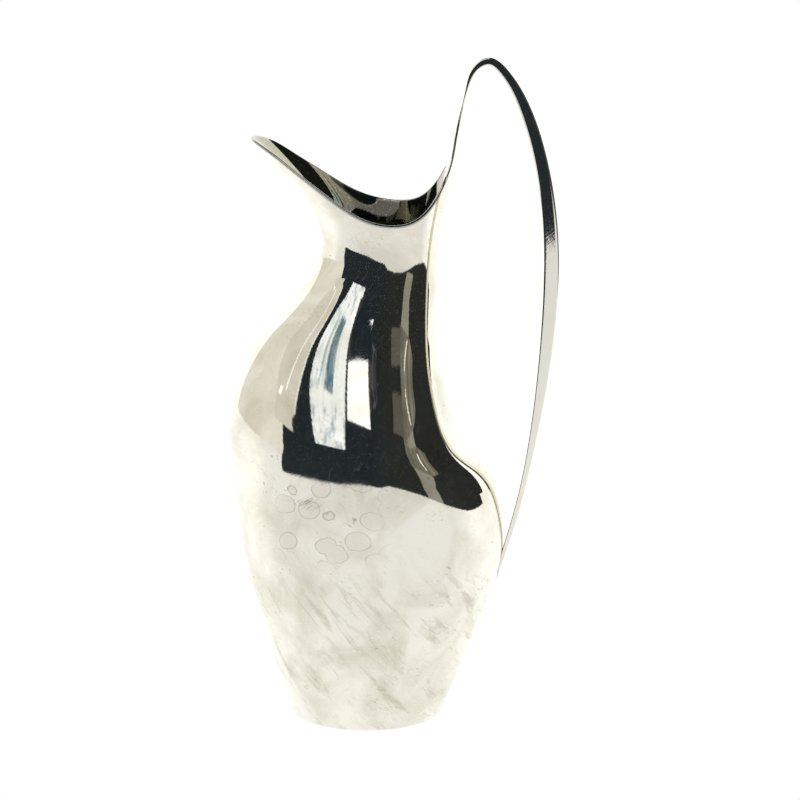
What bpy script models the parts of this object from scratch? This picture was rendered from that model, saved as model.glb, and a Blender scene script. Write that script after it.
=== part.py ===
"""Silver water pitcher, standing on its base, spout towards -X and handle towards +X.

The vessel is raised from sheet silver.  Every level section of its wall is an egg shape,
and smooth outlines drive it: how far the wall reaches to the front and to the back, half
its width, and where it is widest.  The belly hangs forward high up and bulges back low
down, but the widest places stay above the middle of the base up to the shoulder.

Frame: origin at the centre of the underside, +Z up, the plane y = 0 is the symmetry plane.
Lengths are in millimetres until a mesh is made, which is in metres.
"""
import bpy
import numpy as np

# ---------------------------------------------------------------- driving dimensions, mm
MM = 0.001
GAP = 0.3                    # clearance left at every soldered seam
LIP_GAP = 0.6                # clearance under the lip's wire, wider because the lip curves
WALL = 1.2                   # sheet thickness of the body
BASE_EDGE_HEIGHT = 3.5       # height of the rounded edge under the body
BASE_FLAT_SHARE = 0.900      # flat underside's radius, as a share of the section above it
GIRTH_SEAM = 96.0            # level of the seam between the bowl and the upper body
ROOT_LEVEL = 237.0           # level where the handle's strap stands on the back of the neck
STRAP_TOP = 272.0            # level where the strap meets the forged grip
STRAP_ROOT_ANGLE = 21.5      # degrees round the neck, to each side, that stand under the strap
WIRE_END_ANGLE = 24.0        # degrees round the neck from the strap's middle to the wire's end
WIRE = 1.2                   # diameter of the wire along the lip
AROUND = 48                  # facets round the body
EDGE_ROWS = 6
LOWER_ROWS = 14
UPPER_ROWS = 22
STRAP_ROWS = 14
STRAP_COLUMNS = 9

# Outlines: (height, distance from the vertical axis).
FRONT = [(3.5, -33.0), (31, -41.7), (61, -50.5), (91, -55.8), (113, -57.7), (131, -58.4),
         (146, -55.5), (161, -48.4), (172, -40.6), (182, -31.5), (192, -23.8), (205, -19.8),
         (217, -21.8), (233, -32.3), (251.3, -48.6)]
BACK = [(3.5, 33.2), (26, 43.0), (46, 50.8), (61, 55.6), (73, 58.1), (87, 58.2), (101, 56.0),
        (113, 50.5), (125, 40.8), (137, 36.0), (156, 32.2), (181, 30.6), (205, 31.9),
        (226, 35.3), (241, 37.8), (256, 39.9), (272, 43.2)]
HALF_WIDTH = [(3.5, 32.9), (31, 42.8), (61, 49.9), (85, 52.0), (106, 51.8), (122, 50.6),
              (137, 46.8), (152, 40.7), (167, 33.9), (181, 28.6), (193, 25.7), (204, 24.9),
              (221, 26.4), (239, 27.4), (272, 27.8)]
# How far the widest place of each section lies behind the section's middle.
WIDEST_BEHIND = [(3.5, 0.0), (31, -1.0), (61, -1.8), (87, 0.0), (113, 5.9), (125, 8.9),
                 (137, 10.3), (150, 9.4), (172, 4.6), (192, 0.9), (205, 0.0), (240, 0.0),
                 (272, 0.0)]
# The lip in side view: (distance from the axis, height), from the spout's tip to the handle.
LIP = [(-48.6, 251.3), (-40, 247.3), (-30, 240.4), (-20, 233.4), (-10, 226.6), (0, 221.5),
       (8, 219.5), (15, 219.2), (21, 220.6), (26, 224.0), (30, 229.0), (33, 234.2),
       (35.4, 239.0)]
# Half the strap's width at each height.
STRAP_HALF_WIDTH = [(237, 10.5), (241, 8.3), (248, 6.4), (257, 5.4), (272, 4.7)]
# The grip's centre line with its half depth (in the plane of the handle) and half width.
GRIP = [(42.6, 272.3, 0.7, 4.6), (47.0, 282.7, 1.5, 4.3), (51.4, 284.9, 1.8, 4.2),
        (58.5, 279.9, 2.0, 4.2), (66.3, 266.3, 2.5, 4.2), (74.4, 239.0, 3.0, 4.2),
        (78.2, 206.0, 3.4, 4.2), (77.4, 173.0, 3.2, 4.0), (73.7, 139.0, 2.3, 3.5),
        (67.3, 103.0, 1.3, 2.9), (61.6, 80.0, 1.1, 2.4), (58.1, 68.0, 0.75, 2.1),
        (55.9, 59.0, 0.12, 1.2)]
GRIP_SQUARENESS = 7.0        # 2 is an ellipse, more gives flatter sides and rounder corners
GRIP_ROWS = 60
GRIP_FACETS = 16
WIRE_FACETS = 8
WIRE_ROWS = 72
SMALL = 1e-3                 # step for slopes, in radians and in millimetres
LIP_PASSES = 60              # rounds of averaging that settle the lip's height

SILVER = (0.86, 0.85, 0.82, 1.0)


# ---------------------------------------------------------------- smooth outlines
def smooth(points):
    """Return a function of place: the natural cubic spline through (place, value) points."""
    place, value = np.array(points, dtype=float).T
    step = np.diff(place)
    slope = np.diff(value) / step
    count = len(place)
    system = np.eye(count)
    bend = np.zeros(count)
    for i in range(1, count - 1):
        system[i, i - 1:i + 2] = step[i - 1], 2 * (step[i - 1] + step[i]), step[i]
        bend[i] = 6 * (slope[i] - slope[i - 1])
    second = np.linalg.solve(system, bend)

    def at(wanted):
        wanted = np.asarray(wanted, dtype=float)
        i = np.clip(np.searchsorted(place, wanted) - 1, 0, count - 2)
        left = wanted - place[i]
        right = place[i + 1] - wanted
        cubes = (second[i] * right ** 3 + second[i + 1] * left ** 3) / (6 * step[i])
        lines = ((value[i] / step[i] - second[i] * step[i] / 6) * right
                 + (value[i + 1] / step[i] - second[i + 1] * step[i] / 6) * left)
        return cubes + lines

    return at


front = smooth(FRONT)
back = smooth(BACK)
half_width = smooth(HALF_WIDTH)
widest_behind = smooth(WIDEST_BEHIND)
lip = smooth(LIP)
strap_half_width = smooth(STRAP_HALF_WIDTH)


def wall_point(angle, height):
    """Outer wall at an angle round the axis (0 at the back, pi at the front) and a height."""
    reach = np.minimum(height, FRONT[-1][0])
    middle = (back(height) + front(reach)) / 2
    depth = (back(height) - front(reach)) / 2
    x = middle + depth * np.cos(angle) + widest_behind(height) * np.sin(angle) ** 2
    y = half_width(height) * np.sin(angle)
    return np.stack([x, y, height + 0 * angle], axis=-1)


def wall_normal(angle, height):
    """Outward unit normal of the wall, from its two tangents."""
    round_it = wall_point(angle + SMALL, height) - wall_point(angle - SMALL, height)
    up_it = wall_point(angle, height + SMALL) - wall_point(angle, height - SMALL)
    normal = np.cross(round_it, up_it)
    return normal / np.linalg.norm(normal, axis=-1, keepdims=True)


def lip_height(angle):
    """Height of the lip at an angle, where the wall's own x agrees with the lip's outline."""
    height = np.full(np.shape(angle), min(level for _, level in LIP))
    for _ in range(LIP_PASSES):
        x = wall_point(angle, height)[..., 0]
        height = (height + lip(np.clip(x, LIP[0][0], LIP[-1][0]))) / 2
    return height


def lip_drop(angle, distance):
    """How far below the lip a line lies that keeps a distance from it along the wall."""
    ahead = wall_point(angle + SMALL, lip_height(angle + SMALL))
    behind = wall_point(angle - SMALL, lip_height(angle - SMALL))
    step = ahead - behind
    flat = np.hypot(step[..., 0], step[..., 1])
    return distance * np.sqrt(1 + (step[..., 2] / flat) ** 2)


# ---------------------------------------------------------------- mesh helpers
def silver(name):
    """Polished silver in its own material."""
    material = bpy.data.materials.new(name)
    material.use_nodes = True
    shader = material.node_tree.nodes["Principled BSDF"]
    shader.inputs["Base Color"].default_value = SILVER
    shader.inputs["Metallic"].default_value = 1.0
    shader.inputs["Roughness"].default_value = 0.12
    return material


def make_object(name, points, faces):
    """One smooth-shaded object from points in millimetres and lists of corner numbers."""
    mesh = bpy.data.meshes.new(name)
    mesh.from_pydata((np.asarray(points) * MM).tolist(), [], faces)
    mesh.shade_smooth()
    mesh.materials.append(silver(name))
    made = bpy.data.objects.new(name, mesh)
    bpy.context.collection.objects.link(made)
    return made


def grid_faces(rows, columns, closed):
    """Quads between the rows of a grid, whose columns may run all the way round."""
    faces = []
    for row in range(rows - 1):
        for column in range(columns if closed else columns - 1):
            after = (column + 1) % columns
            faces.append([row * columns + column, row * columns + after,
                          (row + 1) * columns + after, (row + 1) * columns + column])
    return faces


def thicken(made, thickness):
    """Give an open sheet its thickness, inwards from its outer face."""
    solidify = made.modifiers.new("sheet thickness", "SOLIDIFY")
    solidify.thickness = thickness * MM
    solidify.offset = -1.0
    solidify.use_even_offset = True
    solidify.use_rim = True


def tube(name, path, normals, half_depth, half_width_y, facets, squareness=2.0):
    """A bar with a superelliptical section carried along a path, capped at both ends.

    The section's depth lies along each point's normal, and its width across it.
    """
    along = np.gradient(path, axis=0)
    along /= np.linalg.norm(along, axis=1, keepdims=True)
    normals = normals - (normals * along).sum(axis=1, keepdims=True) * along
    normals /= np.linalg.norm(normals, axis=1, keepdims=True)
    across = np.cross(along, normals)
    turn = np.arange(facets) * 2 * np.pi / facets
    cosine = np.sign(np.cos(turn)) * np.abs(np.cos(turn)) ** (2 / squareness)
    sine = np.sign(np.sin(turn)) * np.abs(np.sin(turn)) ** (2 / squareness)
    deep = half_depth[:, None, None] * cosine[None, :, None] * normals[:, None, :]
    wide = half_width_y[:, None, None] * sine[None, :, None] * across[:, None, :]
    points = (path[:, None, :] + deep + wide).reshape(-1, 3)
    faces = grid_faces(len(path), facets, True)
    faces.append(list(range(facets))[::-1])
    faces.append([(len(path) - 1) * facets + corner for corner in range(facets)])
    return make_object(name, points, faces)


# ---------------------------------------------------------------- the pieces
ANGLES = np.arange(AROUND) * 2 * np.pi / AROUND


def base_pan():
    """The bottom: a flat disc whose edge turns up in a quarter round to meet the bowl."""
    edge = wall_point(ANGLES, np.full(AROUND, BASE_EDGE_HEIGHT))
    rows = []
    for quarter in np.linspace(0, np.pi / 2, EDGE_ROWS):
        share = BASE_FLAT_SHARE + (1 - BASE_FLAT_SHARE) * np.sin(quarter)
        row = edge * share
        row[:, 2] = BASE_EDGE_HEIGHT * (1 - np.cos(quarter))
        rows.append(row)
    faces = grid_faces(len(rows), AROUND, True)
    faces.append(list(range(AROUND))[::-1])
    made = make_object("base_pan", np.concatenate(rows), faces)
    thicken(made, WALL)


def lower_body():
    """The bowl, from the base's edge to the seam at the girth."""
    levels = np.linspace(BASE_EDGE_HEIGHT + GAP, GIRTH_SEAM, LOWER_ROWS)
    rows = [wall_point(ANGLES, np.full(AROUND, level)) for level in levels]
    made = make_object("lower_body", np.concatenate(rows), grid_faces(LOWER_ROWS, AROUND, True))
    thicken(made, WALL)


def upper_body():
    """Shoulder, neck and spout in one sheet, its top edge following the lip."""
    edge = lip_height(ANGLES)
    top = edge - lip_drop(ANGLES, WIRE + LIP_GAP)
    behind = np.cos(ANGLES) > np.cos(np.radians(STRAP_ROOT_ANGLE))
    top = np.where(behind, ROOT_LEVEL, top)
    start = GIRTH_SEAM + GAP
    rows = [wall_point(ANGLES, start + (top - start) * share)
            for share in np.linspace(0, 1, UPPER_ROWS)]
    made = make_object("upper_body", np.concatenate(rows), grid_faces(UPPER_ROWS, AROUND, True))
    thicken(made, WALL)


def lip_wire():
    """A round wire soldered on the edge of the sheet, from the strap round the spout."""
    root = np.radians(WIRE_END_ANGLE)
    angles = np.linspace(root, 2 * np.pi - root, WIRE_ROWS)
    heights = lip_height(angles) - lip_drop(angles, WIRE / 2)
    outward = wall_normal(angles, heights)
    path = wall_point(angles, heights) - outward * WALL / 2
    thick = np.full(WIRE_ROWS, WIRE / 2)
    tube("lip_wire", path, outward, thick, thick, WIRE_FACETS)


def handle_strap():
    """The strap that carries the back of the neck upwards and narrows towards the grip."""
    levels = np.linspace(ROOT_LEVEL + GAP, STRAP_TOP, STRAP_ROWS)
    rows = []
    for level in levels:
        across = np.linspace(-1, 1, STRAP_COLUMNS) * strap_half_width(level)
        angle = np.arcsin(across / half_width(level))
        rows.append(wall_point(angle, np.full(STRAP_COLUMNS, level)))
    faces = grid_faces(STRAP_ROWS, STRAP_COLUMNS, False)
    made = make_object("handle_strap", np.concatenate(rows), faces)
    thicken(made, WALL)


def handle_grip():
    """The forged grip: over the arch, down the back, and to a point that lies on the bowl."""
    stations = np.array(GRIP)
    chord = np.linalg.norm(np.diff(stations[:, :2], axis=0), axis=1)
    length = np.concatenate([[0], np.cumsum(chord)])
    place = np.linspace(0, length[-1], GRIP_ROWS)
    x, z, depth, width = (smooth(list(zip(length, column)))(place) for column in stations.T)
    path = np.stack([x, 0 * x, z], axis=1)
    along = np.gradient(path, axis=0)
    outward = np.stack([-along[:, 2], 0 * x, along[:, 0]], axis=1)
    tube("handle_grip", path, outward, depth, width, GRIP_FACETS, GRIP_SQUARENESS)


for old in list(bpy.data.objects):
    bpy.data.objects.remove(old, do_unlink=True)

base_pan()
lower_body()
upper_body()
lip_wire()
handle_strap()
handle_grip()
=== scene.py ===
# %% [markdown]
# # A silver water pitcher
# The real object is a tall jug raised from sheet silver, with a belly that hangs forward, a
# narrow neck, a spout drawn out of the lip and a thin handle that loops high over the mouth.
# It is all one polished metal, so there is almost nothing to see but reflections: a shape that
# is a little lumpy, or a seam between two pieces, shows at once.  That is why every surface
# here is worked out from one smooth formula, and why the neighbours share their edge points.

# %% Load the fixed frame
import math

import bpy
import numpy as np
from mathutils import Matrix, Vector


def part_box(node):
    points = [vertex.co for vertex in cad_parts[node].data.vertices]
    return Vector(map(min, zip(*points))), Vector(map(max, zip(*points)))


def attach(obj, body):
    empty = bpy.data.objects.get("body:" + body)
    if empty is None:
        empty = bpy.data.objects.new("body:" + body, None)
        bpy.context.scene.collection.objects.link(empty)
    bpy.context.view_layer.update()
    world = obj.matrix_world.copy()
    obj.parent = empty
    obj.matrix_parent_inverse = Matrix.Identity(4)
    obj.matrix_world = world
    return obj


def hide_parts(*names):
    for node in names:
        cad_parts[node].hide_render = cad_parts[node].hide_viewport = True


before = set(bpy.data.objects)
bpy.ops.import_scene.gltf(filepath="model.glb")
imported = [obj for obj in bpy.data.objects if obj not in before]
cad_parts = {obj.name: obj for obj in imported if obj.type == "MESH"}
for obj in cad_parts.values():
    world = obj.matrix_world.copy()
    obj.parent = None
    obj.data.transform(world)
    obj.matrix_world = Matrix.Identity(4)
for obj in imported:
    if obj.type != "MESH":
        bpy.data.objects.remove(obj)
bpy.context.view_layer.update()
print("frame nodes:", sorted(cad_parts))

# %% [markdown]
# ## Colours and small helpers
# Colours are written as sRGB hex values, because that is how a maker picks them, and one
# function turns them into the linear values that the shaders need.  One more function adds a
# node with its settings and its inputs, so that each material below reads as a short list.

# %% Colours and nodes
MM = 0.001


def colour(hex_text):
    """Linear RGBA from an sRGB hex colour such as 'D8D4C8'."""
    values = np.array([int(hex_text[i:i + 2], 16) for i in (0, 2, 4)]) / 255
    linear = np.where(values <= 0.04045, values / 12.92, ((values + 0.055) / 1.055) ** 2.4)
    return (*linear.tolist(), 1.0)


def add(tree, kind, inputs=None, **settings):
    """Add a node.  Settings are its properties or the values of its named inputs; inputs holds,
    for each socket, either the output socket that feeds it or a plain value."""
    node = tree.nodes.new(kind)
    for name, value in settings.items():
        if hasattr(node, name):
            setattr(node, name, value)
        else:
            node.inputs[name.replace("_", " ")].default_value = value
    for socket, source in (inputs or {}).items():
        if isinstance(source, bpy.types.NodeSocket):
            tree.links.new(source, node.inputs[socket])
        else:
            node.inputs[socket].default_value = source
    return node


print("sRGB 808080 is", round(colour("808080")[0], 3), "in linear light")


# %% [markdown]
# ## The outlines of the vessel
# Every level section of the wall is an egg shape.  Four outlines drive it: how far the wall
# reaches to the front, how far to the back, half its width, and how far its widest place lies
# behind its middle.  A fifth outline is the lip in side view.  The points are the same design
# values as the frame's, in millimetres.

# %% Outlines in millimetres
WALL = 1.2                   # thickness of the sheet
BASE_EDGE = 2.2              # height where the pan's turned edge runs into the wall
PAN_SEAM = 3.65              # height of the seam between pan and bowl
GIRTH_SEAM = 96.15           # height of the seam between bowl and upper body
ROOT_LEVEL = 237.0           # height where the strap leaves the neck
STRAP_TOP = 272.0            # height of the joint between strap and grip
FRONT = [(3.5, -33.0), (31, -41.7), (61, -50.5), (91, -55.8), (113, -57.7), (131, -58.4),
         (146, -55.5), (161, -48.4), (172, -40.6), (182, -31.5), (192, -23.8), (205, -19.8),
         (217, -21.8), (233, -32.3), (251.3, -48.6)]
BACK = [(3.5, 33.2), (26, 43.0), (46, 50.8), (61, 55.6), (73, 58.1), (87, 58.2), (101, 56.0),
        (113, 50.5), (125, 40.8), (137, 36.0), (156, 32.2), (181, 30.6), (205, 31.9),
        (226, 35.3), (241, 37.8), (256, 39.9), (272, 43.2)]
HALF_WIDTH = [(3.5, 32.9), (31, 42.8), (61, 49.9), (85, 52.0), (106, 51.8), (122, 50.6),
              (137, 46.8), (152, 40.7), (167, 33.9), (181, 28.6), (193, 25.7), (204, 24.9),
              (221, 26.4), (239, 27.4), (272, 27.8)]
WIDEST_BEHIND = [(3.5, 0.0), (31, -1.0), (61, -1.8), (87, 0.0), (113, 5.9), (125, 8.9),
                 (137, 10.3), (150, 9.4), (172, 4.6), (192, 0.9), (205, 0.0), (240, 0.0),
                 (272, 0.0)]
LIP = [(-48.6, 251.3), (-40, 247.3), (-30, 240.4), (-20, 233.4), (-10, 226.6), (0, 221.5),
       (8, 219.5), (15, 219.2), (21, 220.6), (26, 224.0), (30, 229.0), (33, 234.2),
       (35.4, 239.0)]
print("the outlines have", [len(o) for o in (FRONT, BACK, HALF_WIDTH, WIDEST_BEHIND, LIP)],
      "points")

# %% [markdown]
# ## Smooth curves through few points
# A natural cubic spline runs through the points of each outline, so that the curvature changes
# without a jump, which is what a planished and polished wall looks like.

# %% Splines
def smooth(points):
    """Return a function of place: the natural cubic spline through (place, value) points."""
    place, value = np.array(points, dtype=float).T
    step = np.diff(place)
    slope = np.diff(value) / step
    count = len(place)
    system = np.eye(count)
    bend = np.zeros(count)
    for i in range(1, count - 1):
        system[i, i - 1:i + 2] = step[i - 1], 2 * (step[i - 1] + step[i]), step[i]
        bend[i] = 6 * (slope[i] - slope[i - 1])
    second = np.linalg.solve(system, bend)

    def at(wanted):
        wanted = np.asarray(wanted, dtype=float)
        i = np.clip(np.searchsorted(place, wanted) - 1, 0, count - 2)
        left, right = wanted - place[i], place[i + 1] - wanted
        cubes = (second[i] * right ** 3 + second[i + 1] * left ** 3) / (6 * step[i])
        lines = ((value[i] / step[i] - second[i] * step[i] / 6) * right
                 + (value[i + 1] / step[i] - second[i + 1] * step[i] / 6) * left)
        return cubes + lines

    return at


front, back, half_width, widest_behind, lip = (
    smooth(outline) for outline in (FRONT, BACK, HALF_WIDTH, WIDEST_BEHIND, LIP))
print("the neck is", round(2 * float(half_width(204)), 1), "mm wide at its narrowest")

# %% [markdown]
# ## The wall
# One formula gives the whole wall from these outlines, and its tangents give its normal.  The
# cell ends by comparing its widest place with the frame's.

# %% Wall
def unit(vectors):
    """Each vector divided by its length."""
    return vectors / np.linalg.norm(vectors, axis=-1, keepdims=True)


def depth(height):
    """Half the wall's length from front to back at a height."""
    return (back(height) - front(np.minimum(height, FRONT[-1][0]))) / 2


def wall(angle, height):
    """Outer wall: x = middle + depth cos(a) + e sin(a)^2, y = half width sin(a), z = height."""
    angle, height = np.broadcast_arrays(angle, height)
    x = back(height) - depth(height) * (1 - np.cos(angle))
    x = x + widest_behind(height) * np.sin(angle) ** 2
    return np.stack([x, half_width(height) * np.sin(angle), height.astype(float)], axis=-1)


def wall_tangents(angle, height, small=1e-4):
    """The wall's change per radian and per millimetre of height, by central differences."""
    per_angle = (wall(angle + small, height) - wall(angle - small, height)) / (2 * small)
    per_height = (wall(angle, height + small) - wall(angle, height - small)) / (2 * small)
    return per_angle, per_height


def wall_normal(angle, height):
    """Outward unit normal of the wall."""
    return unit(np.cross(*wall_tangents(angle, height)))


bowl_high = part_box("lower_body")[1]
print("widest half width, frame and outline:", round(bowl_high.y / MM, 2),
      round(float(half_width(np.linspace(60, 96, 200)).max()), 2))

# %% [markdown]
# ## Turning a grid into a mesh
# A grid of points becomes quads between its rows.  The grids here can close on themselves
# round the vessel, and also over the lip from the outer to the inner face of the sheet, which
# makes the thin wall one closed skin.  Each mesh gets the formula's own normals: two pieces
# that share an edge then shade alike along it, and a polished-out seam stays invisible.

# %% Grid to mesh
def grid_piece(name, points, normals, closed_rows=False, caps=False, inside=None):
    """A piece from a (rows, columns) grid in millimetres whose columns run all the way round.

    With closed_rows the last row joins the first; with caps each end gets a flat face.
    inside holds, for each row, how far it belongs to the inner face of the vessel, 0 to 1.
    """
    rows, columns = points.shape[:2]
    row = np.arange(rows if closed_rows else rows - 1)[:, None]
    column = np.arange(columns)[None, :]
    here, above = row * columns, (row + 1) % rows * columns
    after = (column + 1) % columns
    quads = np.stack([here + column, here + after, above + after, above + column], axis=-1)
    quads = quads.reshape(-1, 4)
    ends = [np.arange(columns)[::-1], (rows - 1) * columns + np.arange(columns)] if caps else []
    corners = np.concatenate([quads.ravel(), *ends])
    sizes = np.array([4] * len(quads) + [columns] * len(ends))
    mesh = bpy.data.meshes.new(name)
    mesh.vertices.add(rows * columns)
    mesh.vertices.foreach_set("co", (points.reshape(-1, 3) * MM).astype(np.float32).ravel())
    mesh.loops.add(len(corners))
    mesh.loops.foreach_set("vertex_index", corners.astype(np.int32))
    mesh.polygons.add(len(sizes))
    mesh.polygons.foreach_set("loop_start", (np.cumsum(sizes) - sizes).astype(np.int32))
    mesh.update(calc_edges=True)
    mesh.polygons.foreach_set("use_smooth", np.ones(len(sizes), dtype=bool))
    mesh.normals_split_custom_set_from_vertices(normals.reshape(-1, 3).tolist())
    if inside is not None:
        layer = mesh.attributes.new("inside", "FLOAT", "POINT")
        layer.data.foreach_set("value", np.repeat(inside, columns).astype(np.float32))
    piece = bpy.data.objects.new(name, mesh)
    bpy.context.scene.collection.objects.link(piece)
    print(name, "has", len(quads) * 2, "triangles")
    return piece


INNER_STEP = 2               # the inner face has every second row of the outer one


def sheet(outer, normals):
    """Both faces of a sheet as one closed grid: up its outer face and down its inner face,
    which is the outer one moved inwards along its normals by the wall's thickness.

    Returns points, normals and, for each row, whether it is on the inner face.
    """
    back_down = np.arange(len(outer))[::-1][::INNER_STEP]
    back_down = np.unique(np.append(back_down, [0, len(outer) - 1]))[::-1]
    inner = outer[back_down] - WALL * normals[back_down]
    points = np.concatenate([outer, inner])
    inside = np.repeat([0.0, 1.0], [len(outer), len(inner)])
    return points, np.concatenate([normals, -normals[back_down]]), inside


# %% [markdown]
# ## The base pan
# The bottom is a flat disc whose edge turns up.  The turned edge leaves the flat underside
# and meets the wall's own slope smoothly: it is a quadratic curve whose middle control point
# is where the line of the wall would reach the table.

# %% Base pan
AROUND = 320                 # columns round the vessel
ANGLES = np.arange(AROUND) * 2 * math.pi / AROUND
FLAT_RINGS = 26              # rows over the flat underside,
TURN_ROWS = 15               # over its turned edge,
SIDE_ROWS = 3                # and up the wall to the seam


def pan_rows(angles):
    """Outer points of the pan from the middle of its underside up to its seam.

    The turned edge is (1 - s)^2 start + 2 s (1 - s) corner + s^2 edge, with s from 0 to 1.
    """
    edge = wall(angles, BASE_EDGE)
    slope = wall_tangents(angles, np.full(len(angles), BASE_EDGE))[1]
    corner = edge - slope * BASE_EDGE
    inwards = -unit(corner * [1, 1, 0])
    start = corner + inwards * np.linalg.norm(edge - corner, axis=-1, keepdims=True)
    flat = [start * share for share in np.linspace(0.02, 0.98, FLAT_RINGS)]
    share = np.linspace(0, 1, TURN_ROWS)[:, None, None]
    turned = (1 - share) ** 2 * start + 2 * share * (1 - share) * corner + share ** 2 * edge
    levels = np.linspace(BASE_EDGE, PAN_SEAM, SIDE_ROWS + 1)[1:]
    sides = [wall(angles, level) for level in levels]
    return np.concatenate([flat, turned, sides])


def grid_normals(points):
    """Unit normals of a grid whose columns close on themselves, from its own differences."""
    round_it = np.roll(points, -1, axis=1) - np.roll(points, 1, axis=1)
    return unit(np.cross(round_it, np.gradient(points, axis=0)))


pan_outer = pan_rows(ANGLES)
pan_normals = grid_normals(pan_outer)
pan_normals[-1] = wall_normal(ANGLES, PAN_SEAM)
pan_points, pan_facing, pan_inside = sheet(pan_outer, pan_normals)
base_pan = grid_piece("silver_base_pan", pan_points, pan_facing, caps=True, inside=pan_inside)

# %% [markdown]
# ## The bowl
# The bowl was raised from a disc of sheet with a hammer.  Here it is the wall formula between
# the pan's seam and the seam at the girth, so that it runs into both neighbours.

# %% Bowl
BOWL_ROWS = 111
BOWL_LEVELS = np.linspace(PAN_SEAM, GIRTH_SEAM, BOWL_ROWS)[:, None]
bowl_outer = wall(ANGLES[None, :], BOWL_LEVELS)
bowl = sheet(bowl_outer, wall_normal(ANGLES[None, :], BOWL_LEVELS))
lower_body = grid_piece("silver_lower_body", *bowl[:2], closed_rows=True, inside=bowl[2])

# %% [markdown]
# ## The line of the lip
# The lip is where the wall meets the outline that it has in side view.  Its points are spread
# evenly along its own length, because it is long and gentle along the spout and steep where
# it climbs into the handle.

# %% Lip line
LIP_POINTS = 400
LIP_SAMPLES = 6001           # fine enough to measure the lip's length
LIP_START = 219.5            # height near the lip's lowest point, where the search starts
LIP_TURNS = 80               # repetitions, each of which halves what is left of the error
ROOT_ANGLE = math.radians(22.5)


def lip_height(angle):
    """Height where the wall's own x agrees with the lip's outline, by damped repetition."""
    height = np.full(np.shape(angle), LIP_START)
    for _ in range(LIP_TURNS):
        x = wall(angle, height)[..., 0]
        height = 0.5 * (height + lip(np.clip(x, LIP[0][0], LIP[-1][0])))
    return height


def even_lip():
    """Angles and heights along the lip from one side of the root to the other, evenly."""
    angle = np.linspace(ROOT_ANGLE, 2 * math.pi - ROOT_ANGLE, LIP_SAMPLES)
    height = lip_height(angle)
    run = np.linalg.norm(np.diff(wall(angle, height), axis=0), axis=1)
    length = np.concatenate([[0], np.cumsum(run)])
    wanted = np.interp(np.linspace(0, length[-1], LIP_POINTS), length, angle)
    return wanted, lip_height(wanted)


lip_angle, lip_level = even_lip()
print("lip from", round(float(lip_level.min()), 1), "to", round(float(lip_level.max()), 1), "mm")
root_level = float(lip_level[0])

# %% [markdown]
# ## Lines beside the lip
# The wire and the sheet under it need lines in the wall that keep a distance from the lip, so
# each point of the lip gets a direction in the wall, square to the lip, along which to go.  It
# turns level at the handle's root, where the edge goes on as the side of the strap.

# %% Beside the lip
ROOT_BLEND = 7.0             # height over which the edge's direction turns level
ROOT_ABOVE = 225             # only the lip above this height belongs to the root
WALK_STEPS = 6               # steps along the wall's tangents; each one is much nearer


def lip_outward():
    """Unit vectors in the wall, square to the lip and away from the metal."""
    along = unit(np.gradient(wall(lip_angle, lip_level), axis=0))
    square = unit(np.cross(along, wall_normal(lip_angle, lip_level)))
    square *= np.sign(square[:, 2:3] + 1e-9)
    level = unit(wall_tangents(lip_angle, lip_level)[0])
    level *= np.where(lip_angle < math.pi, 1, -1)[:, None]
    near = np.clip(1 - (root_level - lip_level) / ROOT_BLEND, 0, 1)
    at_root = (lip_level > ROOT_ABOVE) * (np.cos(lip_angle) > 0)
    near = (near * near * (3 - 2 * near) * at_root)[:, None]
    return unit(square * (1 - near) + level * near)


outward = lip_outward()


def inside_lip(distance):
    """Angles and heights of the line in the wall that keeps a distance from the lip.

    Each step solves, for the two tangents of the wall, the least squares of what is missing.
    """
    target = wall(lip_angle, lip_level) - outward * distance
    angle, height = lip_angle.copy(), lip_level.copy()
    for _ in range(WALK_STEPS):
        miss = target - wall(angle, height)
        per_angle, per_height = wall_tangents(angle, height)
        a, b, c = ((u * v).sum(-1) for u, v in ((per_angle, per_angle), (per_angle, per_height),
                                                (per_height, per_height)))
        d, e = (per_angle * miss).sum(-1), (per_height * miss).sum(-1)
        angle = angle + (c * d - b * e) / (a * c - b * b)
        height = height + (a * e - b * d) / (a * c - b * b)
    return angle, height


print("the lip's edge runs over", round(float(np.ptp(wall(lip_angle, lip_level)[:, 0])), 1),
      "mm from spout to root")

# %% [markdown]
# ## Shoulder, neck and spout
# The upper body runs from the girth to just under the lip.  Each column of the grid keeps one
# angle and climbs from the seam to its own point near the lip, so the rows slowly turn from
# level sections into the sweep of the lip.  The columns at the back end level, under the root
# of the handle's strap.

# %% Upper body
LIP_WIRE = 1.2               # the wire takes this much of the wall below the lip
BACK_SPACES = 33             # spaces between columns from one side of the strap to the other
UPPER_ROWS = 151
seam_angle, seam_height = inside_lip(LIP_WIRE)
back_angle = np.linspace(seam_angle[-1] - 2 * math.pi, seam_angle[0], BACK_SPACES + 1)[1:-1]
top_angle = np.concatenate([seam_angle, back_angle + 2 * math.pi])
top_height = np.concatenate([seam_height, np.full(len(back_angle), root_level)])
climb = np.linspace(0, 1, UPPER_ROWS)[:, None]
upper_height = GIRTH_SEAM + (top_height - GIRTH_SEAM)[None, :] * climb
upper_angle = np.broadcast_to(top_angle, upper_height.shape)
upper_outer = wall(upper_angle, upper_height)
upper = sheet(upper_outer, wall_normal(upper_angle, upper_height))
upper_body = grid_piece("silver_upper_body", *upper[:2], closed_rows=True, inside=upper[2])

# %% [markdown]
# ## The wire along the lip
# A thin wire stiffens the mouth.  It was soldered on and filed flush, so its sides go on from
# the sheet's two faces and only its top is round: a half circle as wide as the sheet is thick.

# %% Lip wire
WIRE_SIDE_POINTS = 4         # points up each side of the wire,
WIRE_TOP_POINTS = 13         # and over its round top


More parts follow.
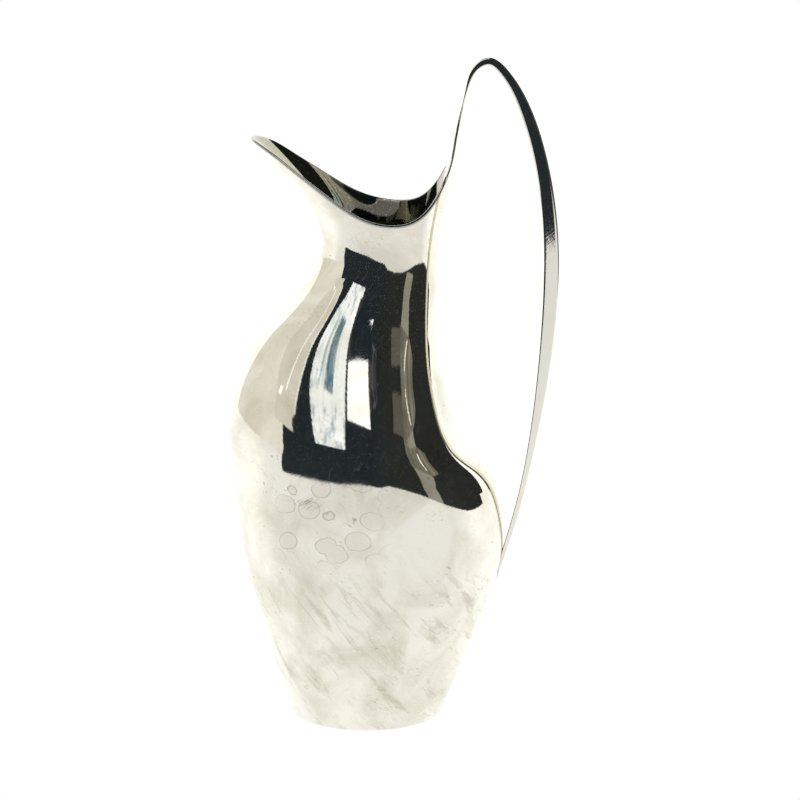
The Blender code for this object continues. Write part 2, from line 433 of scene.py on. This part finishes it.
def lip_section():
    """Rows across the wire: up its outer side, over the half circle and down its inner side.

    The half circle is middle + radius (normal cos t + outward sin t), with t from 0 to pi.
    """
    sides = []
    for distance in np.linspace(LIP_WIRE, WALL / 2, WIRE_SIDE_POINTS):
        angle, height = inside_lip(distance)
        sides.append((wall(angle, height), wall_normal(angle, height)))
    shoulder, facing = sides[-1]
    middle = shoulder - facing * WALL / 2
    turns = np.linspace(0, math.pi, WIRE_TOP_POINTS + 2)[1:-1]
    bends = [unit(facing * math.cos(t) + outward * math.sin(t)) for t in turns]
    points = [p for p, n in sides] + [middle + bend * WALL / 2 for bend in bends]
    points += [p - n * WALL for p, n in sides[::-1]]
    normals = [n for p, n in sides] + bends + [-n for p, n in sides[::-1]]
    return np.stack(points, axis=1), np.stack(normals, axis=1)


wire_points, wire_facing = lip_section()
lip_wire = grid_piece("silver_lip_wire", wire_points[::-1], wire_facing[::-1], caps=True)

# %% [markdown]
# ## The line of the handle
# The handle is one sweep.  It starts as the back wall of the neck itself, a thin bowed strap,
# narrows as it rises, turns over in a tight arch and becomes a forged bar with flat sides
# and soft corners, thickest half way down and thin again where it lies on the bowl.  A few
# stations give its middle line, half depth and half width, and splines run through them.

# %% Handle line
GRIP = [(47.0, 282.7, 1.5, 4.3), (51.4, 284.9, 1.8, 4.2), (58.5, 279.9, 2.0, 4.2),
        (66.3, 266.3, 2.5, 4.2), (74.4, 239.0, 3.0, 4.2), (78.2, 206.0, 3.4, 4.2),
        (77.4, 173.0, 3.2, 4.0), (73.7, 139.0, 2.3, 3.5), (67.3, 103.0, 1.3, 2.9),
        (61.6, 80.0, 1.1, 2.4), (58.1, 68.0, 0.75, 2.1), (55.9, 59.0, 0.12, 1.2)]
STRAP = [(ROOT_LEVEL, 0.6, 10.5), (241, 0.6, 8.3), (248, 0.6, 6.4), (257, 0.6, 5.4),
         (265, 0.62, 5.0), (STRAP_TOP, 0.72, 4.7)]
HANDLE_ROWS = 520
LEVEL_TO = 2                 # the strap turns out of the neck's level up to this station,
PLATE_TO = 3                 # has a plate's thin edges up to this one,
BOWED_TO = 4                 # is bowed like the neck up to this one,
BAR_FROM = 7                 # and is a full bar from the top of the arch
TIP_FROM, TIP_TO = -4, -2    # between these the grip comes to lie on the bowl,
TIP_SINK = 0.25              # set this far into its surface, so that no slit shows


def handle_stations():
    """Length along the handle with x, z, half depth and half width at each station."""
    strap = [(float(back(z)) - WALL / 2, z, d, b) for z, d, b in STRAP]
    stations = np.array(strap + GRIP)
    chord = np.linalg.norm(np.diff(stations[:, :2], axis=0), axis=1)
    return np.concatenate([[0], np.cumsum(chord)]), stations


def ease(value, low, high):
    """0 below low, 1 above high and the smooth step s^2 (3 - 2 s) between."""
    share = np.clip((value - low) / (high - low), 0, 1)
    return share * share * (3 - 2 * share)


length, stations = handle_stations()
place = np.linspace(0, length[-1], HANDLE_ROWS)
mid_x, mid_z, half_deep, half_wide = (smooth(list(zip(length, column)))(place)
                                      for column in stations.T)
mid_x = mid_x - TIP_SINK * ease(place, length[TIP_FROM], length[TIP_TO])
line = np.stack([mid_x, 0 * mid_x, mid_z], axis=-1)
along = unit(np.gradient(line, axis=0))
outer_way = np.stack([along[:, 2], 0 * mid_x, -along[:, 0]], axis=-1)
level_root = 1 - ease(place, 0, length[LEVEL_TO])[:, None]
outer_way = unit(outer_way * (1 - level_root) + np.array([1, 0, 0]) * level_root)
print("the handle is", round(length[-1], 1), "mm long from root to tip")

# %% [markdown]
# ## The handle's section
# The section is a superellipse: half a depth times a power of a cosine by half a width times
# the same power of a sine, with its flat part stretched where the strap is a plate.  There it
# is also bowed like the wall that it grows out of.  The sweep is cut into two pieces where the
# smith joined strap and grip.

# %% Handle pieces
SQUARENESS = 7.0             # 2 is an ellipse, more gives flatter sides
FLAT_TURN = math.radians(12)
FLAT_POINTS, BEND_POINTS = 14, 30


def section_turns():
    """Angles round the section, closer together over the strap's flat faces."""
    flat = np.linspace(-FLAT_TURN, FLAT_TURN, FLAT_POINTS + 1)[:-1]
    bend = np.linspace(FLAT_TURN, math.pi - FLAT_TURN, BEND_POINTS + 1)[:-1]
    return np.concatenate([flat, bend, flat + math.pi, bend + math.pi])


def rounded(wave, power):
    """A cosine or sine raised to a power that keeps its sign."""
    return np.sign(wave) * np.abs(wave) ** power


turns = section_turns()
edge = half_deep + (half_wide - half_deep) * ease(place, length[PLATE_TO], length[BAR_FROM])
turn = np.abs((turns + math.pi / 2) % math.pi - math.pi / 2) / FLAT_TURN
stretch = np.sin(np.clip(turn, 0, 1) * math.pi / 2) * np.sign(np.sin(turns) + 1e-12)
barred = ease(place, length[BOWED_TO], length[BAR_FROM])
power = 2 / (2 + (SQUARENESS - 2) * barred)[:, None]
across = (half_wide - edge)[:, None] * stretch + edge[:, None] * rounded(np.sin(turns), power)
bow_depth = depth(np.minimum(mid_z, STRAP_TOP)) * (1 - barred)
ratio = across / half_width(np.minimum(mid_z, STRAP_TOP))[:, None]
bow = bow_depth[:, None] * (1 - np.sqrt(1 - ratio ** 2))
lift = half_deep[:, None] * rounded(np.cos(turns), power) - bow
handle = (line[:, None, :] + lift[..., None] * outer_way[:, None, :]
          + across[..., None] * np.array([0, 1, 0]))
handle_facing = grid_normals(handle)
cut = int(np.searchsorted(mid_z[:HANDLE_ROWS // 4], STRAP_TOP))
handle_strap = grid_piece("silver_handle_strap", handle[:cut + 1], handle_facing[:cut + 1],
                          caps=True)
handle_grip = grid_piece("silver_handle_grip", handle[cut:], handle_facing[cut:], caps=True)

# %% [markdown]
# ## Polished silver
# Sterling silver is polished on soft wheels with rouge, so it mirrors almost sharply.  Years
# of use leave a thin warm tarnish in clouds, diagonal wipe marks where a cloth passed, rings
# where drops of water dried, small pits and dust, and fine scratches in every direction.
# None of these is a shape: they are changes of colour, gloss and slope that noise can give.
# Each kind of wear is one mask on coordinates in millimetres, made by a short function.

# %% Tarnish and patches
CLOUD_SIZE = 25              # millimetres across a cloud of tarnish
PATCH_SIZE = 15              # millimetres across a patch of marks


def stretched_noise(tree, mm, degrees, size, **look):
    """Noise turned about the Y axis, then stretched to a size in millimetres along x, y, z."""
    turned = add(tree, "ShaderNodeMapping", {0: mm.outputs[0]},
                 Rotation=(0, math.radians(degrees), 0))
    pulled = add(tree, "ShaderNodeMapping", {0: turned.outputs[0]},
                 Scale=[1 / length for length in size])
    return add(tree, "ShaderNodeTexNoise", {"Vector": pulled.outputs[0]}, Scale=1.0, **look)


def tarnish(tree, mm):
    """Clouds of tarnish with finer detail in them."""
    cloud = add(tree, "ShaderNodeTexNoise", {"Vector": mm.outputs[0]}, Scale=1 / CLOUD_SIZE,
                Detail=7, Roughness=0.62, Distortion=0.6)
    return add(tree, "ShaderNodeMapRange", {"Value": cloud.outputs[0]}, From_Min=0.40,
               From_Max=0.66)


def patches(tree, mm):
    """Soft-edged areas in which marks and scratches gather."""
    gather = add(tree, "ShaderNodeTexNoise", {"Vector": mm.outputs[0]}, Scale=1 / PATCH_SIZE,
                 Detail=2)
    return add(tree, "ShaderNodeMapRange", {"Value": gather.outputs[0]}, From_Min=0.48,
               From_Max=0.62)


print("clouds are", CLOUD_SIZE, "mm across and patches of marks", PATCH_SIZE)

# %% [markdown]
# ## Marks of cloth and water
# A cloth leaves long streaks low on the bowl, and handling leaves short dark marks.  Drops that
# dry on the front of the girth leave a pale film inside a darker rim: cells of a Voronoi
# pattern, pushed about by noise, give their centres, and the distance from a centre gives both.

# %% Wipe marks, short marks and dried drops
DROP_CELL = 11.5             # millimetres between the centres of drops
DROP_EDGE = 0.475            # a drop reaches this share of a cell from its centre,
RIM_EDGE = 0.455             # its rim is full down to this share,
FILM_EDGE = 0.415            # and its film is full inside this one


def wipe_marks(tree, mm, axes):
    """Wipes of a cloth, down to the right on the lower bowl, 30 mm long and 4.5 mm wide."""
    noise = stretched_noise(tree, mm, -52, (30, 14, 4.5), Detail=6, Roughness=0.66,
                            Distortion=0.35)
    wipes = add(tree, "ShaderNodeMapRange", {"Value": noise.outputs[0]}, From_Min=0.52,
                From_Max=0.68)
    below = add(tree, "ShaderNodeMapRange", {"Value": axes.outputs["Z"]}, From_Min=78,
                From_Max=62, interpolation_type="SMOOTHSTEP")
    return add(tree, "ShaderNodeMath", {0: wipes.outputs[0], 1: below.outputs[0]},
               operation="MULTIPLY")


def short_marks(tree, mm, gathered):
    """Short dark marks, 3.4 mm long and 0.9 mm wide, where marks gather."""
    noise = stretched_noise(tree, mm, -30, (3.4, 2, 0.9), Detail=3, Roughness=0.6,
                            Distortion=0.8)
    mark = add(tree, "ShaderNodeMapRange", {"Value": noise.outputs[0]}, From_Min=0.60,
               From_Max=0.70)
    return add(tree, "ShaderNodeMath", {0: mark.outputs[0], 1: gathered.outputs[0]},
               operation="MULTIPLY")


def drop_zone(tree, axes):
    """The front of the girth, where drops dried: the product of five soft edges."""
    zone = None
    for axis, outside, full in (("X", 12, -4), ("X", -39, -34), ("Y", 12, -6), ("Z", 77, 82),
                                ("Z", 116, 110)):
        soft = add(tree, "ShaderNodeMapRange", {"Value": axes.outputs[axis]}, From_Min=outside,
                   From_Max=full)
        zone = soft if zone is None else add(
            tree, "ShaderNodeMath", {0: zone.outputs[0], 1: soft.outputs[0]},
            operation="MULTIPLY")
    return zone


def dried_drops(tree, mm, axes):
    """The rims and the films of drops up to 11 mm wide and 8 mm high."""
    wobble = add(tree, "ShaderNodeTexNoise", {"Vector": mm.outputs[0]}, Scale=1 / 9, Detail=2)
    pushed = add(tree, "ShaderNodeVectorMath", {0: wobble.outputs["Color"], 1: (3.5, 3.5, 3.5),
                                                2: mm.outputs[0]}, operation="MULTIPLY_ADD")
    flatter = add(tree, "ShaderNodeMapping", {0: pushed.outputs[0]}, Scale=(1, 1, 1.35))
    drops = add(tree, "ShaderNodeTexVoronoi", {"Vector": flatter.outputs[0]},
                Scale=1 / DROP_CELL)
    whole, film = (add(tree, "ShaderNodeMapRange", {"Value": drops.outputs["Distance"]},
                       From_Min=low, From_Max=high, interpolation_type="SMOOTHSTEP")
                   for low, high in ((DROP_EDGE, RIM_EDGE), (RIM_EDGE, FILM_EDGE)))
    rim = add(tree, "ShaderNodeMath", {0: whole.outputs[0], 1: film.outputs[0]},
              operation="SUBTRACT")
    zone = drop_zone(tree, axes)
    return [add(tree, "ShaderNodeMath", {0: part.outputs[0], 1: zone.outputs[0]},
                operation="MULTIPLY") for part in (rim, film)]


print("drops are up to", round(2 * DROP_EDGE * DROP_CELL, 1), "mm wide")

# %% [markdown]
# ## Dust and scratches
# Real dust and pits are a tenth of a millimetre or less and real scratches are far thinner
# still, so all of them are drawn coarser than life here, or they would not show.  A long
# scratch is a level line of a stretched noise: folding the noise at a small height makes each
# such line a thin valley.

# %% Dust, long scratches and fine scratches
SPECK_CELL = 0.9             # millimetres between the centres of specks
SPECK_EDGE = 0.35            # a speck fades out at this share of a cell from its centre
SPECK_CORE = 0.12            # and is full inside this one
FOLD = 0.07                  # the noise is folded at this height, so scratches lie that far apart


def dust_and_pits(tree, mm):
    """Specks about 0.4 mm across and some 2 mm apart, because few cells get a bright one."""
    dots = add(tree, "ShaderNodeTexVoronoi", {"Vector": mm.outputs[0]}, Scale=1 / SPECK_CELL)
    dot = add(tree, "ShaderNodeMapRange", {"Value": dots.outputs["Distance"]},
              From_Min=SPECK_EDGE, From_Max=SPECK_CORE)
    chosen = add(tree, "ShaderNodeMapRange", {"Value": dots.outputs["Color"]}, From_Min=0.50,
                 From_Max=0.78)
    return add(tree, "ShaderNodeMath", {0: dot.outputs[0], 1: chosen.outputs[0]},
               operation="MULTIPLY")


def long_scratches(tree, mm, gathered):
    """Level lines of a stretched noise, where scratches gather."""
    noise = stretched_noise(tree, mm, 47, (26, 16, 4), Detail=3, Roughness=0.55)
    folded = add(tree, "ShaderNodeMath", {0: noise.outputs[0], 1: FOLD}, operation="PINGPONG")
    scratch = add(tree, "ShaderNodeMapRange", {"Value": folded.outputs[0]}, From_Min=0.006,
                  From_Max=0.001)
    return add(tree, "ShaderNodeMath", {0: scratch.outputs[0], 1: gathered.outputs[0]},
               operation="MULTIPLY")


def fine_scratches(tree, mm):
    """The bump of two sets of scratches that cross, 14 and 9 mm long and 0.6 mm wide."""
    steep, shallow = (stretched_noise(tree, mm, degrees, (long_way, 6, 0.6), Detail=2,
                                      Roughness=0.5)
                      for degrees, long_way in ((38, 14), (-65, 9)))
    both = add(tree, "ShaderNodeMath", {0: steep.outputs[0], 1: shallow.outputs[0]},
               operation="ADD")
    return add(tree, "ShaderNodeBump", {"Height": both.outputs[0]}, Strength=1.0,
               Distance=0.004 * MM)


print("specks are at most", round(2 * SPECK_EDGE * SPECK_CELL, 2), "mm across")

# %% [markdown]
# ## The colours of worn silver
# Clean silver is a warm white mirror.  Each kind of wear is laid over it as its own colour, and
# the inside of the vessel, which no cloth reaches, is duller and darker.

# %% Colours of wear
def worn_colour(tree, clean_and_painted_dark, wear, amount):
    """The base colour with each (mask, colour) of wear laid over the one before; the base is bare
    polished silver, and for the lip wire it is a painted dark reflection.
    """
    below = colour(clean_and_painted_dark)
    for mask, hex_text in wear:
        strength = add(tree, "ShaderNodeMath", {0: mask.outputs[0], 1: amount},
                       operation="MULTIPLY")
        layer = add(tree, "ShaderNodeMix", {0: strength.outputs[0], 6: below,
                                            7: colour(hex_text)}, data_type="RGBA")
        below = layer.outputs[2]
    return below


def lined_colour(tree, axes, outer):
    """The outer colour with a dull inside, which is darker away from the spout."""
    inside = add(tree, "ShaderNodeAttribute", attribute_name="inside")
    towards_strap = add(tree, "ShaderNodeMapRange", {"Value": axes.outputs["X"]}, From_Min=33,
                        From_Max=24)
    dull = add(tree, "ShaderNodeMath", {0: inside.outputs["Fac"], 1: towards_strap.outputs[0]},
               operation="MULTIPLY")
    deeper = add(tree, "ShaderNodeMapRange", {"Value": axes.outputs["X"]}, From_Min=-20,
                 From_Max=-6, interpolation_type="SMOOTHSTEP")
    lining = add(tree, "ShaderNodeMix", {0: deeper.outputs[0], 6: colour("A6A38D"),
                                         7: colour("8C8C85")}, data_type="RGBA")
    lined = add(tree, "ShaderNodeMix", {0: dull.outputs[0], 6: outer, 7: lining.outputs[2]},
                data_type="RGBA")
    return lined.outputs[2]


# %% [markdown]
# ## The finished silver
# Dust is not metal, and a scratch or the tarnish film scatters a little light, so metallic and
# gloss drop there.  Everything else about the metal stays at the shader's own values.

# %% Silver
POLISH = 0.985               # metallic of clean silver under its thin film
DUST_LOSS = 0.11             # how far metallic drops under dust, where marks are strongest
SCRATCH_SHARE = 0.8          # a long scratch scatters this share of what dust does
CLEAN_ROUGH, HAZY_ROUGH = 0.02, 0.09


def polished_silver(name, haze_amount, marks_amount, clean_and_painted_dark="EBE8DD"):
    """Polished sterling silver with tarnish clouds, wipe marks, water rings and scratches.

    The base colour under the wear is bare polished silver by default; the lip wire's darker one
    is a painted reflection of the dark room.
    """
    material = bpy.data.materials.new(name)
    material.use_nodes = True
    tree = material.node_tree
    shader = tree.nodes["Principled BSDF"]
    place = add(tree, "ShaderNodeTexCoord")
    mm = add(tree, "ShaderNodeVectorMath", {0: place.outputs["Object"]}, operation="SCALE",
             Scale=1 / MM)
    axes = add(tree, "ShaderNodeSeparateXYZ", {0: mm.outputs[0]})
    haze, gathered, dust = tarnish(tree, mm), patches(tree, mm), dust_and_pits(tree, mm)
    rims, films = dried_drops(tree, mm, axes)

    tint = add(tree, "ShaderNodeMath", {0: haze.outputs[0], 1: haze_amount},
               operation="MULTIPLY")
    wear = [(tint, "C4BFA9"), (wipe_marks(tree, mm, axes), "BEB8A4"),
            (short_marks(tree, mm, gathered), "A69F8B"), (films, "DEDACC"), (rims, "AFAB9A")]
    metal_colour = lined_colour(tree, axes, worn_colour(tree, clean_and_painted_dark, wear, marks_amount))
    dusted = add(tree, "ShaderNodeMix", {0: dust.outputs[0], 6: metal_colour,
                                         7: colour("E9E9E4")}, data_type="RGBA")
    tree.links.new(dusted.outputs[2], shader.inputs["Base Color"])

    scratches = long_scratches(tree, mm, gathered)
    scatter = add(tree, "ShaderNodeMath", {0: scratches.outputs[0], 1: SCRATCH_SHARE,
                                           2: dust.outputs[0]},
                  operation="MULTIPLY_ADD", use_clamp=True)
    metal = add(tree, "ShaderNodeMapRange", {"Value": scatter.outputs[0]}, To_Min=POLISH,
                To_Max=POLISH - DUST_LOSS * marks_amount)
    tree.links.new(metal.outputs[0], shader.inputs["Metallic"])

    grain = add(tree, "ShaderNodeTexNoise", {"Vector": mm.outputs[0]}, Scale=1 / 1.6, Detail=4,
                Roughness=0.7)
    gloss = add(tree, "ShaderNodeMath", {0: haze.outputs[0], 1: grain.outputs[0]},
                operation="MULTIPLY")
    rough = add(tree, "ShaderNodeMapRange", {"Value": gloss.outputs[0]},
                To_Min=CLEAN_ROUGH, To_Max=HAZY_ROUGH)
    tree.links.new(rough.outputs[0], shader.inputs["Roughness"])
    tree.links.new(fine_scratches(tree, mm).outputs[0], shader.inputs["Normal"])
    print(name, "has", len(tree.nodes), "nodes")
    return material


# %% [markdown]
# ## Giving each piece its finish
# The smith burnished body and handle alike, but the handle is wiped clean by every hand that
# lifts it.  The lip wire's darker colour is painted shade: a painted reflection of the dark room
# along its thin edge, under real wear.  Each piece stands for the frame's node of the same name.

# %% Finish and bodies
body_silver = polished_silver("sterling silver, polished body", 0.75, 0.8)
handle_silver = polished_silver("sterling silver, forged and polished handle", 0.35, 0.25)
# The lip wire's darker base colour ACACA6 is painted shade, a painted reflection of the dark room
# along its edge; its tarnish and marks are real wear.
painted_dark_wire_silver = polished_silver("sterling silver, lip wire painted dark as a reflection", 0.6, 0.5, "ACACA6")

PIECES = [(base_pan, "base_pan", body_silver, "body_silver"),
          (lower_body, "lower_body", body_silver, "body_silver"),
          (upper_body, "upper_body", body_silver, "body_silver"),
          (lip_wire, "lip_wire", painted_dark_wire_silver, "body_silver"),
          (handle_strap, "handle_strap", handle_silver, "handle_silver"),
          (handle_grip, "handle_grip", handle_silver, "handle_silver")]
for piece, node, material, slot in PIECES:
    piece.data.materials.append(material)
    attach(piece, "root")
    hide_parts(node)
print(len(PIECES), "pieces ride on root")

# %% [markdown]
# ## The studio
# Polished silver shows its surroundings, so the light set is what gives it its look: a white
# table and a white backdrop, a white panel on the left, and the dark room beyond the table's
# front edge, with a window, a white card and a pale door in it.  Each of them is a surface
# that gives off its own light, even or blotchy, because that is soft and free of noise.

# %% Lit surfaces
def glow(name, hex_text, strength=1.0):
    """A plain lit surface that gives off an even light."""
    material = bpy.data.materials.new(name)
    material.use_nodes = True
    tree = material.node_tree
    tree.nodes.remove(tree.nodes["Principled BSDF"])
    shine = add(tree, "ShaderNodeEmission", Color=colour(hex_text), Strength=strength)
    tree.links.new(shine.outputs[0], tree.nodes["Material Output"].inputs[0])
    return material


def streaky(name, dark, light, cells, low=0.42, high=0.58, strength=1.0):
    """An uneven glow between two colours; cells is how many blotches fit in a metre."""
    material = glow(name, dark, strength)
    tree = material.node_tree
    place = add(tree, "ShaderNodeTexCoord")
    shape = add(tree, "ShaderNodeMapping", {0: place.outputs["Object"]}, Scale=cells)
    noise = add(tree, "ShaderNodeTexNoise", {"Vector": shape.outputs[0]}, Scale=1.0, Detail=5,
                Roughness=0.6)
    share = add(tree, "ShaderNodeMapRange", {"Value": noise.outputs[0]}, From_Min=low,
                From_Max=high)
    mixed = add(tree, "ShaderNodeMix", {0: share.outputs[0], 6: colour(dark), 7: colour(light)},
                data_type="RGBA")
    tree.links.new(mixed.outputs[2], tree.nodes["Emission"].inputs["Color"])
    return material


white_paper = glow("white paper", "FFFFFF")
print(white_paper.name, "has", len(white_paper.node_tree.nodes), "nodes")

# %% [markdown]
# ## Placing panels by direction
# A mirror shows directions, so each panel is placed by the direction in which it lies from the
# pitcher: azimuth 0 is the front, 90 the handle's side and -90 the spout's side, and elevation
# counts upwards from level, both in degrees.

# %% Panels
PANEL_CENTRE = 0.15          # height in metres of the point from which directions count
FLOOR_REACH = 6              # metres of pale floor on every side


def panel(name, corners, material, seen_by_camera=False):
    """A flat panel through its corner points, in metres; the camera looks past most panels."""
    mesh = bpy.data.meshes.new(name)
    mesh.from_pydata(corners, [], [list(range(len(corners)))])
    made = bpy.data.objects.new(name, mesh)
    bpy.context.scene.collection.objects.link(made)
    made.data.materials.append(material)
    made.visible_camera = seen_by_camera
    made.visible_shadow = False
    return made


def towards(azimuth, elevation, distance):
    """The point that lies in a direction from the middle of the pitcher."""
    a, e = math.radians(azimuth), math.radians(elevation)
    return (distance * math.sin(a) * math.cos(e), -distance * math.cos(a) * math.cos(e),
            PANEL_CENTRE + distance * math.sin(e))


def patch(name, corners, material, distance):
    """A panel whose corners lie in the given directions, nearer ones in front of others."""
    return panel(name, [towards(a, e, distance) for a, e in corners], material)


def wide(low, high, bottom, top, step=12):
    """Directions round a rectangle, with enough corners for its long sides to follow."""
    count = max(2, int(abs(high - low) / step) + 1)
    across = np.linspace(low, high, count).tolist()
    return [(a, bottom) for a in across] + [(a, top) for a in across[::-1]]


floor = panel("floor", [(FLOOR_REACH * x, FLOOR_REACH * y, 0)
                        for x, y in ((-1, -1), (1, -1), (1, 1), (-1, 1))],
              glow("pale floor", "FFFFFF"), seen_by_camera=True)
floor.visible_glossy = False
print("the floor reaches", FLOOR_REACH, "metres each way")

# %% [markdown]
# ## The white table
# The table top is an uneven shape, because its front edge is where the white in the pitcher's
# belly ends and the dark room begins.  It is brightest behind the pitcher, near the backdrop.

# %% Table
TABLE_EDGE = [(-2.5, -0.93), (-0.523, -0.215), (-0.508, -0.27), (-0.495, -0.35),
              (-0.437, -0.467), (-0.35, -0.57), (-0.245, -0.665), (-0.13, -0.79),
              (0.02, -0.87), (0.14, -0.90), (0.32, -1.20), (0.62, -1.15), (0.77, -0.82),
              (0.75, -0.55), (0.70, -0.30), (0.68, 0.02), (0.84, 0.38), (2.5, 1.2), (2.5, 3.0),
              (-2.5, 3.0)]
TABLE_LIFT = 0.0002          # metres above the floor, so that the two don't fight


def table_glow():
    """Strength = a smooth rise towards the back minus a fall towards the far front, over y."""
    material = glow("white table", "FFFFFF")
    tree = material.node_tree
    place = add(tree, "ShaderNodeTexCoord")
    axes = add(tree, "ShaderNodeSeparateXYZ", {0: place.outputs["Object"]})
    rise = add(tree, "ShaderNodeMapRange", {"Value": axes.outputs["Y"]}, From_Min=-0.14,
               From_Max=0.08, To_Min=0.97, To_Max=1.26, interpolation_type="SMOOTHSTEP")
    fall = add(tree, "ShaderNodeMapRange", {"Value": axes.outputs["Y"]}, From_Min=-0.25,
               From_Max=-0.70, To_Max=0.10, interpolation_type="SMOOTHSTEP")
    strength = add(tree, "ShaderNodeMath", {0: rise.outputs[0], 1: fall.outputs[0]},
                   operation="SUBTRACT")
    tree.links.new(strength.outputs[0], tree.nodes["Emission"].inputs["Strength"])
    return material


panel("table_top", [(x, y, TABLE_LIFT) for x, y in TABLE_EDGE], table_glow())
print("the table's edge has", len(TABLE_EDGE), "corners")

# %% [markdown]
# ## The dark room
# The world stands for the dark room: bluish on the left and a neutral grey on the right.
# The camera itself sees white where the world would show, like the paper behind the pitcher.

# %% World
world = bpy.data.worlds.new("dark room")
bpy.context.scene.world = world
world.use_nodes = True
sky = world.node_tree
sky.nodes.clear()
way = add(sky, "ShaderNodeTexCoord")
sideways = add(sky, "ShaderNodeSeparateXYZ", {"Vector": way.outputs["Generated"]})
blend = add(sky, "ShaderNodeMapRange", {"Value": sideways.outputs["X"]}, From_Min=0.0,
            From_Max=0.5, interpolation_type="SMOOTHSTEP")
room = add(sky, "ShaderNodeMix", {0: blend.outputs[0], 6: colour("101E26"),
                                  7: colour("222524")}, data_type="RGBA")
seen = add(sky, "ShaderNodeLightPath")
mix = add(sky, "ShaderNodeMix", {0: seen.outputs["Is Camera Ray"], 6: room.outputs[2],
                                 7: colour("FFFFFF")}, data_type="RGBA")
fill = add(sky, "ShaderNodeBackground", {"Color": mix.outputs[2]}, Strength=1.0)
add(sky, "ShaderNodeOutputWorld", {"Surface": fill.outputs[0]})
print("the world has", len(sky.nodes), "nodes")

# %% [markdown]
# ## White around the pitcher
# A paper backdrop stands behind, and a pale panel with a narrow bright rim stands on the
# spout's side, with two small lamps in front of it.  They give the white flanks their tone and
# the neck its thin bright lines.

# %% White surroundings
bright_paper = glow("white paper in full light", "FFFFFF", 1.4)
patch("backdrop", wide(122, 235, -8, 45), bright_paper, 3.2)
patch("left_panel", [(-66, 60), (-66, -2), (-70, -12), (-71, -30), (-90, -30), (-110, -30),
                     (-126, -30), (-126, 60), (-110, 60), (-90, 60)],
      glow("pale paper", "F6F4EC"), 2.6)
patch("left_upper_panel", [(-57.6, 9.9), (-59.4, 14.4), (-57.8, 16.5), (-57, 30), (-57, 60),
                           (-72, 60), (-88, 60), (-88, 10), (-76, 10), (-66, 10.4)],
      glow("pale grey panel", "E6E3DA"), 2.2)
patch("left_panel_rim", [(-57, 17), (-58.2, 17), (-59, 45), (-57, 45)], white_paper, 1.9)
left_glint = glow("lamp seen from the left", "FFFFFF", 1.35)
patch("left_lamp", [(-74, 19.4), (-71, 19.4), (-70.5, 22), (-73.5, 22)], left_glint, 1.85)
patch("left_lamp_strip", [(-68.3, 22), (-67.3, 22), (-65.4, 45), (-66.0, 45)], left_glint, 1.85)

# %% [markdown]
# ## Window, card and door
# In the dark room hang the few things that the belly mirrors: a tall wet window, a white card
# beside it, a curtain, and a pale door on the handle's side.  A small black flag over the
# mouth keeps the white of the room out of the neck, as black cloth does in a studio.

# %% Window, card and door
patch("window", [(-41, 9.7), (-18.3, 9.9), (-19, 31), (-20, 60), (-62, 60), (-50, 29.4),
                 (-46, 23)],
      streaky("window, sky behind wet glass", "A9BAC8", "F4F9FF", (9, 9, 2.2), 0.36, 0.52, 1.3),
      2.5)
patch("window_pane", [(-37.5, 29.7), (-30, 30), (-30, 33.5), (-38, 33.5)],
      streaky("window, blue pane", "50758C", "C4D6E2", (40, 40, 14), 0.46, 0.62), 1.8)
patch("window_side", [(-26, 14), (-20, 14), (-20.5, 60), (-27, 60)],
      glow("window, side light", "F4FAFF", 1.3), 1.9)
patch("white_card", [(-16.5, 25), (6.5, 22), (5, 60), (-18.5, 60)],
      glow("white card", "F7FAFF", 1.55), 1.9)
patch("curtain", [(5, 28.5), (17, 31), (18, 60), (4, 60)],
      streaky("dim curtain", "17181C", "59565E", (14, 14, 6)), 2.1)
patch("door_foot", [(53, -10), (66.7, -10), (62.7, 0.4), (69, 14), (51.6, 13), (49.5, -1.6)],
      glow("pale door in light", "9E9C92"), 2.2)
patch("door", [(50, 13), (70, 13), (79, 16), (76, 29), (57, 29)],
      streaky("pale door", "6C6B60", "8F8C7E", (5, 5, 1)), 2.2)
patch("door_side", [(36, 18), (52, 14), (55, 26), (40, 30)],
      glow("pale wall", "5F5D55"), 2.0)
patch("lamp", [(65.5, 15), (67.0, 15), (63.4, 24), (62.4, 24)],
      glow("lamp", "FFFFFF", 1.2), 1.8)
panel("flag", [(-0.0325, -0.105, 0.2133), (0.016, -0.105, 0.2103), (0.016, -0.105, 0.238),
               (-0.0325, -0.105, 0.238)],
      streaky("black flag", "0F1C24", "4A4A55", (90, 90, 60), 0.50, 0.66))

# %% [markdown]
# ## The camera
# A long lens stands about three metres away and a little above the pitcher, square to its
# side, so that the outline is nearly the side view of the frame.

# %% Camera
camera_data = bpy.data.cameras.new("camera")
camera_data.lens = 342
camera_data.sensor_width = 36
camera_data.clip_end = 50
camera = bpy.data.objects.new("camera", camera_data)
bpy.context.scene.collection.objects.link(camera)
CAMERA_PLACE = np.array([0.0144, -3.13, 0.929])
CAMERA_TARGET = np.array([0.0144, 0.0, 0.1375])
camera.location = CAMERA_PLACE.tolist()
tilt = math.atan2(CAMERA_PLACE[2] - CAMERA_TARGET[2], CAMERA_TARGET[1] - CAMERA_PLACE[1])
camera.rotation_euler = (math.pi / 2 - tilt, 0, 0)
bpy.context.scene.camera = camera
bpy.context.scene.view_settings.view_transform = "Standard"
print("the camera looks down by", round(math.degrees(tilt), 1), "degrees")
